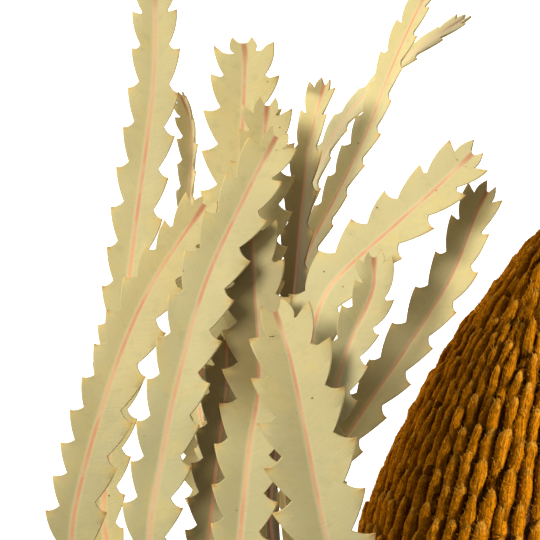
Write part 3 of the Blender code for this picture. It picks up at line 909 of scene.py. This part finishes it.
# %% The shape of the cone
CONE_RADIUS = 38.9
CONE_DOME = 85.0
CONE_SKIRT = 22.0
CONE_FOOT_RADIUS = 7.0
CONE_TIP_RADIUS = 1.4
DOME_POWER = 1.6
DOME_ROUNDING = 0.9
CONE_YAW = math.radians(7.0)
AXIS_HEIGHT = 36.6
CURVE_SAMPLES = 300

UP = Vector((0.0, 0.0, 1.0))
CONE_AXIS = Vector((math.sin(CONE_YAW), math.cos(CONE_YAW), 0.0))
CONE_SIDE = Vector((math.cos(CONE_YAW), -math.sin(CONE_YAW), 0.0))


def cone_profile(count, inset=0.0):
    """Points (radius, height) and their headings, evenly spaced from the foot to the tip."""
    turn = np.linspace(0, math.pi / 2, CURVE_SAMPLES)
    skirt = np.stack([CONE_RADIUS * np.sin(turn), -CONE_SKIRT * np.cos(turn)], 1)
    share = np.linspace(0, 1, CURVE_SAMPLES)[1:]
    radius = CONE_RADIUS * (1 - share**DOME_POWER) ** DOME_ROUNDING
    dome = np.stack([radius, CONE_DOME * share], 1)
    points = np.vstack([skirt[skirt[:, 0] > CONE_FOOT_RADIUS], dome[radius > CONE_TIP_RADIUS]])
    steps = np.linalg.norm(np.diff(points, axis=0), axis=1)
    reached = np.concatenate([[0.0], np.cumsum(steps)])
    wanted = np.linspace(0, reached[-1], count + 1)
    line = np.stack([np.interp(wanted, reached, c) for c in points.T], 1)
    heading = unit(np.gradient(line, wanted, axis=0))
    inward = np.stack([-heading[:, 1], heading[:, 0]], 1)
    return (line + inset * inward).tolist(), heading.tolist()


def radial_at(k, count):
    """The direction away from the cone's axis, at one of a number of steps round it."""
    angle = 2 * math.pi * k / count
    return math.cos(angle) * CONE_SIDE - math.sin(angle) * UP


print("cone: %.0f mm thick" % (2 * max(radius for radius, height in cone_profile(36)[0])))

# %% [markdown]
# The florets sit in 64 columns. Each column starts about two fifths of a step further on than the
# one beside it, with some chance in it, so the tips climb the cone in uneven spirals. Near the
# tip, where the columns crowd, every second one ends, and then every second one again. The belly
# of a lying cone is pressed flat, so there the seats lie in a plane.

# %% The florets' seats
PROFILE_STEPS = 600
FLORET_COLUMNS = 64
COLUMN_LAG = 0.42
LAG_SPREAD = 0.2
FLORET_PITCH = 7.3
LEAST_SPACING = 2.2
MOST_GROWTH = 1.15
ENDING_DELAY = 18
PRESS_DEPTH = 0.8
LEAN = 0.09
SHIFT_ACROSS = 0.2
SHIFT_ALONG = 0.45
SEAT_SEED = 5


def rows_up(line):
    """For each step of the profile: one column in how many goes on, a size, the rows so far."""
    full_spacing = 2 * math.pi * CONE_RADIUS / FLORET_COLUMNS
    kept_every, sizes, rows = [], [], [0.0]
    for (radius, height), (next_radius, next_height) in zip(line, line[1:]):
        spacing = 2 * math.pi * radius / FLORET_COLUMNS
        every = 1
        while every < 8 and every * spacing < LEAST_SPACING:
            every *= 2
        kept_every.append(every)
        sizes.append(min(MOST_GROWTH, every * spacing / full_spacing))
        step = math.hypot(next_radius - radius, next_height - height)
        rows.append(rows[-1] + step / (FLORET_PITCH * (0.4 + 0.6 * sizes[-1])))
    return kept_every, sizes, rows


def floret_seats():
    """A mesh of points only, each with its turn, its size and a random tint."""
    rng = np.random.RandomState(SEAT_SEED)
    line, heading = cone_profile(PROFILE_STEPS)
    kept_every, sizes_there, rows_reached = rows_up(line)
    places, turns, sizes, tints = [], [], [], []
    for column in range(FLORET_COLUMNS):
        radial = radial_at(column, FLORET_COLUMNS)
        lag = column * COLUMN_LAG + rng.uniform(-LAG_SPREAD, LAG_SPREAD)
        for row in np.arange(lag % 1.0, rows_reached[-1], 1.0):
            spot = max(int(np.searchsorted(rows_reached, row)) - 1, 0)
            if column % kept_every[max(0, spot - ENDING_DELAY)]:
                continue
            (radius, height), (widening, rising) = line[spot], heading[spot]
            place = AXIS_HEIGHT * UP + radius * radial + height * CONE_AXIS
            tipward = widening * radial + rising * CONE_AXIS
            outward = rising * radial - widening * CONE_AXIS
            if place.z < 0:
                pressed = min(1.0, -place.z / PRESS_DEPTH)
                place.z = 0.0
                outward = outward.lerp(-UP, pressed).normalized()
            across = outward.cross(tipward).normalized()
            tipward = across.cross(outward)
            lean = rng.uniform(-LEAN, LEAN)
            tipward, across = tipward + lean * across, across - lean * tipward
            aside = rng.uniform(-SHIFT_ACROSS, SHIFT_ACROSS) * across
            place += aside + rng.uniform(-SHIFT_ALONG, SHIFT_ALONG) * tipward
            place += rng.uniform(-0.35, 0.25) * outward
            size = sizes_there[spot] * rng.uniform(0.94, 1.06)
            places.append(MM * place)
            basis = np.array([tipward.normalized(), across.normalized(), outward]).T
            turns.append(Matrix(basis.tolist()).to_euler())
            sizes.append((0.4 + 0.6 * size, size, 0.3 + 0.7 * size))
            tints.append(rng.uniform())
    mesh = bpy.data.meshes.new("seats")
    mesh.from_pydata(places, [], [])
    store(mesh, "turn", turns, "FLOAT_VECTOR")
    store(mesh, "size", sizes, "FLOAT_VECTOR")
    store(mesh, "tint", tints)
    return mesh


seats = floret_seats()
print("florets:", len(seats.vertices))

# %% [markdown]
# Geometry Nodes place what repeats. This helper builds a tree with named inputs, and runs it once
# on a mesh: each input is set by its socket's identifier, the evaluated result becomes a plain
# mesh, and the modifier is gone again. Every tree ends by making its instances real and giving
# them their look.

# %% Repeats by Geometry Nodes


class Repeat:
    """A Geometry Nodes tree with named inputs, run once on a mesh."""

    def __init__(self, name, **kinds):
        self.tree = bpy.data.node_groups.new(name, "GeometryNodeTree")
        self.socket("Geometry", "INPUT", "Geometry")
        for label, kind in kinds.items():
            self.socket(label, "INPUT", kind)
        self.socket("Geometry", "OUTPUT", "Geometry")
        self.start = self.tree.nodes.new("NodeGroupInput")

    def socket(self, label, in_out, kind):
        socket_type = "NodeSocket" + kind
        self.tree.interface.new_socket(label, in_out=in_out, socket_type=socket_type)

    def add(self, kind, inputs=None, **settings):
        node = self.tree.nodes.new(kind)
        for label, value in settings.items():
            setattr(node, label, value)
        connect(self.tree, node, inputs or {})
        return node

    def attribute(self, name, kind="FLOAT"):
        node = self.add("GeometryNodeInputNamedAttribute", {"Name": name}, data_type=kind)
        return node.outputs["Attribute"]

    def end(self, geometry):
        real = self.add("GeometryNodeRealizeInstances", {"Geometry": geometry})
        painted = self.add("GeometryNodeSetMaterial", {
            "Geometry": real.outputs[0], "Material": self.start.outputs["Look"],
        })
        finish = self.tree.nodes.new("NodeGroupOutput")
        self.tree.links.new(painted.outputs[0], finish.inputs[0])
        print("tree %s: %d nodes" % (self.tree.name, len(self.tree.nodes)))
        return self

    def run(self, mesh, **values):
        """The mesh that the tree makes from the given one."""
        carrier = bpy.data.objects.new(self.tree.name, mesh)
        scene.collection.objects.link(carrier)
        modifier = carrier.modifiers.new("repeat", "NODES")
        modifier.node_group = self.tree
        for item in self.tree.interface.items_tree:
            if item.in_out == "INPUT" and item.name in values:
                modifier[item.identifier] = values[item.name]
        bpy.context.view_layer.update()
        evaluated = carrier.evaluated_get(bpy.context.evaluated_depsgraph_get())
        made = bpy.data.meshes.new_from_object(evaluated)
        carrier.modifiers.remove(modifier)
        bpy.data.objects.remove(carrier)
        return made


# %% [markdown]
# The tree for the florets copies the nub to every seat. A seat is a point of a mesh, and the turn
# and the size of its nub are values stored on that point, so the tree needs no numbers of its own.

# %% The tree for the florets


def floret_repeat():
    """One nub on every seat, turned and sized by the seat's own values."""
    r = Repeat("florets", Shape="Object", Look="Material")
    shape = r.add("GeometryNodeObjectInfo", {"Object": r.start.outputs["Shape"]})
    turn = r.add("FunctionNodeEulerToRotation", {"Euler": r.attribute("turn", "FLOAT_VECTOR")})
    placed = r.add("GeometryNodeInstanceOnPoints", {
        "Points": r.start.outputs["Geometry"],
        "Instance": shape.outputs["Geometry"],
        "Rotation": turn.outputs["Rotation"],
        "Scale": r.attribute("size", "FLOAT_VECTOR"),
    })
    return r.end(placed.outputs["Instances"])


floret_tree = floret_repeat()

# %% [markdown]
# A floret is orange-brown. Its foot, its flanks and its underside are darkened: painted shade in
# the hollows between the florets and between the columns. Its tip is golden, partly the wool's own
# colour and partly a painted highlight. Fine streaks run along it, each floret's at another place,
# as its tint moves the noise. Wool uses the same finish, and its tufts go golden towards their
# ends. The nubs are then roughened a little, so no two are alike, and what would lie under the
# floor is pressed flat on it. The noise that roughens them has a fixed seed: without one, it would
# take the clock's time and differ at every run.

# %% The florets
# The dark colour also stands for painted shade, and the gold also for a painted highlight.
WOOL_DARK_AND_SHADE = (0.13, 0.04, 0.001)
WOOL_ORANGE = (0.50, 0.175, 0.003)
WOOL_GOLD_AND_HIGHLIGHT = (0.74, 0.36, 0.04)
ROUGH_GRAIN = 2.2
ROUGH_AMOUNT = 0.55
ROUGH_SEED = 3


def floret_finish():
    g = Graph("woolly_floret", 1.0, Specular_IOR_Level=0.0)
    reach, tint, flank, around, tuft = g.stored("reach", "tint", "flank", "around", "tuft")
    # Painted shade: darker at each floret's foot, where the florets hide one another, and on its
    # flanks and underside.
    colour = g.mix(g.ramp(reach, 0.2, 0.6), WOOL_DARK_AND_SHADE, WOOL_ORANGE)
    colour = g.mix(g.ramp(flank, 0.75, 1.0, 0.0, 0.8), colour, WOOL_DARK_AND_SHADE)
    # Painted highlight on the tip, partly the wool's own gold.
    tip_highlight = g.ramp(g.math("ADD", reach, g.times(tint, 0.12)), 0.88, 1.08)
    colour = g.mix(g.times(tip_highlight, 0.8), colour, WOOL_GOLD_AND_HIGHLIGHT)
    streaks = g.noise(1.0, 3.0, g.add(
        "CombineXYZ", X=g.times(around, 26.0), Y=g.times(reach, 3.0), Z=g.times(tint, 40.0)))
    colour = g.mix(g.ramp(streaks, 0.52, 0.75, 0.0, 0.5), colour, WOOL_GOLD_AND_HIGHLIGHT)
    colour = g.mix(g.ramp(streaks, 0.48, 0.3, 0.0, 0.6), colour, WOOL_DARK_AND_SHADE)
    colour = g.mix(g.times(tuft, 0.5), colour, WOOL_GOLD_AND_HIGHLIGHT)
    colour = g.mix(g.ramp(g.noise(700.0), 0.35, 0.7, 0.0, 0.45), colour, WOOL_DARK_AND_SHADE)
    return g.finish(colour, g.math("ADD", g.noise(2600.0, 4.0), streaks), 0.5)


def roughen(mesh, grain, amount):
    """Moves every point a little, by a noise of the given grain in millimetres."""
    noise.seed_set(ROUGH_SEED)
    for vert in mesh.vertices:
        vert.co += MM * amount * noise.noise_vector(vert.co / (MM * grain))
    return mesh


def rest_on_floor(mesh, lowest=0.02):
    """Presses everything that would lie under the floor flat on it."""
    spots = np.empty(3 * len(mesh.vertices), np.float32)
    mesh.vertices.foreach_get("co", spots)
    spots[2::3] = np.maximum(spots[2::3], lowest * MM)
    mesh.vertices.foreach_set("co", spots)
    mesh.update()
    return mesh


def add_cone_piece(name, mesh, look):
    """A piece of the cone, which stands in the shade of the leaves and has its own lamps."""
    piece = add_piece(name, mesh, look, "cone")
    exclude(piece, key_shade)
    cone_glow.objects.link(piece)


wool_look = floret_finish()
nub = bpy.data.objects.new("nub", nub_shape)
scene.collection.objects.link(nub)
florets = floret_tree.run(seats, Shape=nub, Look=wool_look)
bpy.data.objects.remove(nub)
florets = rest_on_floor(roughen(florets, ROUGH_GRAIN, ROUGH_AMOUNT))
add_cone_piece("floret_columns", florets, wool_look)

# %% [markdown]
# Wool covers the florets. It is made of tufts: short, thin spikes of three sides that stand on the
# florets' outer faces, lean to the cone's tip and sway at random. Geometry Nodes scatter them on
# the outer ends of the florets and not at all on their hidden feet. Two pieces share the tufts,
# each with its own seed, so that neither mesh grows too large.

# %% The wool
TUFT_LENGTH = 0.85
TUFT_RADIUS = 0.07
TUFT_LEAN = 0.55
TUFT_SWAY = 0.65
TUFTS_A_PIECE = 40000
WOOL_PIECES = 2
WOOL_START = 0.35


def tuft(r):
    """One spike, with a value that grows from 0 at its foot to 1 at its end."""
    spike = r.add("GeometryNodeMeshCone", {
        "Vertices": 3, "Radius Top": 0.0,
        "Radius Bottom": TUFT_RADIUS * MM, "Depth": TUFT_LENGTH * MM,
    }, fill_type="NGON")
    position = r.add("GeometryNodeInputPosition").outputs[0]
    height = r.add("ShaderNodeSeparateXYZ", {0: position}).outputs[2]
    share = r.add("ShaderNodeMath", {0: height, 1: TUFT_LENGTH * MM}, operation="DIVIDE")
    marked = r.add("GeometryNodeStoreNamedAttribute", {
        "Geometry": spike.outputs["Mesh"], "Name": "tuft", "Value": share.outputs[0],
    }, data_type="FLOAT", domain="POINT")
    return marked.outputs["Geometry"]


def wool_repeat():
    r = Repeat("wool", Density="Float", Seed="Int", Look="Material")
    start = r.start.outputs
    outer = r.add("FunctionNodeCompare", {
        "A": r.attribute("reach"), "B": WOOL_START,
    }, data_type="FLOAT", operation="GREATER_THAN")
    scattered = r.add("GeometryNodeDistributePointsOnFaces", {
        "Mesh": start["Geometry"], "Selection": outer.outputs["Result"],
        "Density": start["Density"], "Seed": start["Seed"],
    }, distribute_method="RANDOM")
    spike = tuft(r)
    sway = r.add("FunctionNodeRandomValue", {
        "Min": (-TUFT_SWAY,) * 3, "Max": (TUFT_SWAY,) * 3,
    }, data_type="FLOAT_VECTOR")
    lean = r.add("ShaderNodeVectorMath", {
        0: scattered.outputs["Normal"], 1: tuple(TUFT_LEAN * CONE_AXIS),
    }, operation="ADD")
    lean = r.add("ShaderNodeVectorMath", {
        0: lean.outputs[0], 1: sway.outputs[0],
    }, operation="ADD")
    turn = r.add("FunctionNodeAlignRotationToVector", {"Vector": lean.outputs[0]}, axis="Z")
    size = r.add("FunctionNodeRandomValue", {2: 0.55, 3: 1.15}, data_type="FLOAT")
    placed = r.add("GeometryNodeInstanceOnPoints", {
        "Points": scattered.outputs["Points"], "Instance": spike,
        "Rotation": turn.outputs["Rotation"], "Scale": size.outputs[1],
    })
    return r.end(placed.outputs["Instances"])


def area_beyond(mesh, name, limit):
    """The area of the faces whose value of an attribute is above a limit."""
    values = mesh.attributes[name].data
    return sum(face.area for face in mesh.polygons if values[face.vertices[0]].value > limit)


tuft_density = TUFTS_A_PIECE / area_beyond(florets, "reach", WOOL_START)
wool = wool_repeat()
for k in range(1, WOOL_PIECES + 1):
    tufts = wool.run(florets, Density=tuft_density, Seed=k, Look=wool_look)
    add_cone_piece("wool_%d" % k, rest_on_floor(tufts), wool_look)

# %% [markdown]
# Between the florets the cone's woody core shows as a dark ground. It is one closed surface of
# revolution, a little inside the dome, and flat along its belly as the cone is.

# %% The core of the cone
CORE_INSET = 2.3
CORE_RINGS = 36
CORE_SIDES = 64
CORE_DARK = (0.03, 0.010, 0.001)
CORE_BROWN = (0.08, 0.028, 0.002)


def band(first, second, sides):
    """The faces between two rings of points, by the number of each ring's first point."""
    pairs = [(j, (j + 1) % sides) for j in range(sides)]
    return [(first + j, first + k, second + k, second + j) for j, k in pairs]


def core_mesh():
    line, _ = cone_profile(CORE_RINGS, CORE_INSET)
    points, faces = [], []
    for radius, height in line:
        for k in range(CORE_SIDES):
            outward = max(radius, 0.4) * radial_at(k, CORE_SIDES)
            spot = AXIS_HEIGHT * UP + outward + height * CONE_AXIS
            spot.z = max(spot.z, CORE_INSET)
            points.append(MM * spot)
    for i in range(CORE_RINGS):
        faces += band(i * CORE_SIDES, (i + 1) * CORE_SIDES, CORE_SIDES)
    faces.append(tuple(range(CORE_SIDES)))
    faces.append(tuple(range(len(points) - CORE_SIDES, len(points)))[::-1])
    mesh = bpy.data.meshes.new("core")
    mesh.from_pydata(points, [], faces)
    return settle(mesh)


core = Graph("woody_core", 0.95)
core_look = core.finish(core.mix(core.noise(500.0), CORE_DARK, CORE_BROWN))
add_cone_piece("cone_core", core_mesh(), core_look)

# %% [markdown]
# The stem is woody, with furrowed bark, old leaf scars in a spiral, and a clean cut at the end.
# The young side shoot is downy. Both are tubes of points about their lines, and this relief is
# added to the radius: a rim round each scar, a swelling under each leaf's foot, and furrows that
# run along the stem. The ends are closed by smaller and smaller rings about a middle point.

# %% The bark
STATION_STEP = 0.45
SCAR_STEP = 7.5
SCAR_START = 6.0
SCAR_END = 4.0
SCAR_SIZE = (1.5, 1.7)
SCAR_RIM = 0.28
FOOT_SIZE = (2.4, 1.9)
FOOT_SWELL = 0.9
GOLDEN_TURN = math.radians(137.5)
CUT_RINGS = (0.94, 0.75, 0.5, 0.25)
START_RINGS = (0.9, 0.5)
BARK_VALUES = ("along", "girth", "scar", "cut", "ring")
BARK_LOWEST = 0.1


def bark_relief(line, distance, angle, radius, feet, furrow):
    """The radius with its relief, and how far each point is inside a scar."""
    swell, scarred = np.zeros_like(radius), np.zeros_like(radius)

    def away_from(at, turn, size):
        gap = (angle - turn + math.pi) % (2 * math.pi) - math.pi
        return np.hypot((distance - at) / size[0], gap * radius / size[1])

    for k, at in enumerate(np.arange(SCAR_START, line.length - SCAR_END, SCAR_STEP)):
        away = away_from(at, (k * GOLDEN_TURN) % (2 * math.pi), SCAR_SIZE)
        swell += SCAR_RIM * np.exp(-((away - 1) / 0.35) ** 2)
        scarred = np.maximum(scarred, np.clip(1.3 - away, 0, 1))
    for at, turn in feet:
        swell += FOOT_SWELL * np.exp(-(away_from(at, turn, FOOT_SIZE) ** 2))
    rough = np.empty_like(radius)
    for i, s in enumerate(distance[:, 0]):
        for j, turn in enumerate(angle[0]):
            around = Vector((math.cos(turn), math.sin(turn), 0.0))
            rough[i, j] = noise.noise(Vector((3.2 * around.x, 3.2 * around.y, 0.13 * s)))
            rough[i, j] += 0.5 * noise.noise(Vector((8 * around.x, 8 * around.y, 0.45 * s)))
    return radius + swell + furrow * rough, scarred


def bark_mesh(name, line, sides, furrow, feet, cut):
    """A tube with bark relief. feet lists (distance, angle) of the leaves that grow on it."""
    count = int(line.length / STATION_STEP)
    stations = np.linspace(0, line.length, count + 1)
    spot, along = line.at(stations)
    level = unit(np.cross(along, (0, 0, 1)))
    lift = np.cross(level, along)
    angles = np.linspace(0, 2 * math.pi, sides, endpoint=False)
    distance, angle = np.meshgrid(stations, angles, indexing="ij")
    radius = np.repeat(spot[:, 3:4], sides, 1)
    radius, scarred = bark_relief(line, distance, angle, radius, feet, furrow)
    across = (radius * np.cos(angle))[..., None] * level[:, None]
    above = (radius * np.sin(angle))[..., None] * lift[:, None]
    rings = spot[:, None, :3] + across + above

    points, faces, zeros = list(rings.reshape(-1, 3)), [], np.zeros(sides)
    values = [np.stack([distance, angle, scarred, 0 * angle, radius], -1).reshape(-1, 5)]
    for i in range(count):
        faces += band(i * sides, (i + 1) * sides, sides)
    for end, base, shares, cut_here in ((-1, count * sides, CUT_RINGS, cut),
                                        (0, 0, START_RINGS, 0.0)):
        middle = spot[end, :3]
        for share in shares:
            ring = middle + share * (rings[end] - middle)
            from_middle = np.linalg.norm(ring - middle, axis=1)
            values.append(np.column_stack([zeros, angles, zeros, zeros + cut_here, from_middle]))
            faces += band(base, len(points), sides)
            base = len(points)
            points += list(ring)
        points.append(middle)
        values.append([[0.0, 0.0, 0.0, cut_here, 0.0]])
        faces += [(base + j, base + (j + 1) % sides, len(points) - 1) for j in range(sides)]
    mesh = bpy.data.meshes.new(name)
    mesh.from_pydata([MM * Vector(p) for p in points], [], faces)
    for key, row in zip(BARK_VALUES, np.vstack(values).T):
        store(mesh, key, row)
    return rest_on_floor(settle(mesh), BARK_LOWEST)


def feet_on(stem):
    """The (distance, angle) of every leaf on a stem, in the tube's own terms."""
    turn = 1 if stem == "shoot" else -1
    leaves = [leaf for leaf in LEAVES.values() if leaf.stem == stem]
    return [(leaf.along, math.radians(90 - turn * leaf.clock)) for leaf in leaves]


print("leaves on the stem: %d, on the shoot: %d" % (len(feet_on("stem")), len(feet_on("shoot"))))

# %% [markdown]
# Bark is streaked along the stem, with grey patches and dark scars. On the cut end, the stored
# distance from the middle draws the wood: a soft brown pith, pale rings, and a dark rim of bark.
# The same finish does for the shoot, with warmer colours and a finer, downier grain.

# %% The stem and the side shoot
BARK_GREY = (0.36, 0.31, 0.25)
SCAR_BROWN = (0.06, 0.03, 0.015)
WOOD_PALE = (0.62, 0.45, 0.25)
WOOD_RING = (0.40, 0.25, 0.12)
WOOD_PITH = (0.22, 0.12, 0.05)
WOOD_RIM = (0.16, 0.09, 0.04)


def bark_finish(name, dark, light, downy):
    g = Graph(name, 0.9, Specular_IOR_Level=0.15)
    girth, along, scar, ring, cut = g.stored("girth", "along", "scar", "ring", "cut")
    furrows = g.noise(1.0, 5.0, g.add("CombineXYZ", X=g.times(girth, 4.0), Y=g.times(along, 0.35)))
    colour = g.mix(g.ramp(furrows, 0.3, 0.7), dark, light)
    colour = g.mix(g.ramp(g.noise(300.0), 0.55, 0.7, 0.0, 0.6), colour, BARK_GREY)
    colour = g.mix(g.times(scar, 0.8), colour, SCAR_BROWN)
    rings = g.ramp(g.math("SINE", g.times(ring, 9.0)), -0.6, 0.9, 0.0, 0.5)
    wood = g.mix(rings, WOOD_PALE, WOOD_RING)
    wood = g.mix(g.ramp(ring, 0.9, 0.3), wood, WOOD_PITH)
    wood = g.mix(g.ramp(ring, 3.4, 3.9), wood, WOOD_RIM)
    colour = g.mix(cut, colour, wood)
    return g.finish(colour, g.math("ADD", furrows, g.times(g.noise(1800.0), downy)), 0.4)


bark_look = bark_finish("bark", (0.13, 0.075, 0.04), (0.30, 0.20, 0.12), 0.2)
down_look = bark_finish("downy_bark", (0.25, 0.14, 0.06), (0.42, 0.27, 0.14), 0.8)
stem_bark = bark_mesh("stem_bark", STEMS["stem"], 56, 0.28, feet_on("stem"), 1.0)
add_piece("stem_bark", stem_bark, bark_look, "stem")
shoot_bark = bark_mesh("shoot_bark", STEMS["shoot"], 40, 0.14, feet_on("shoot"), 0.0)
add_piece("shoot_bark", shoot_bark, down_look, "stem")
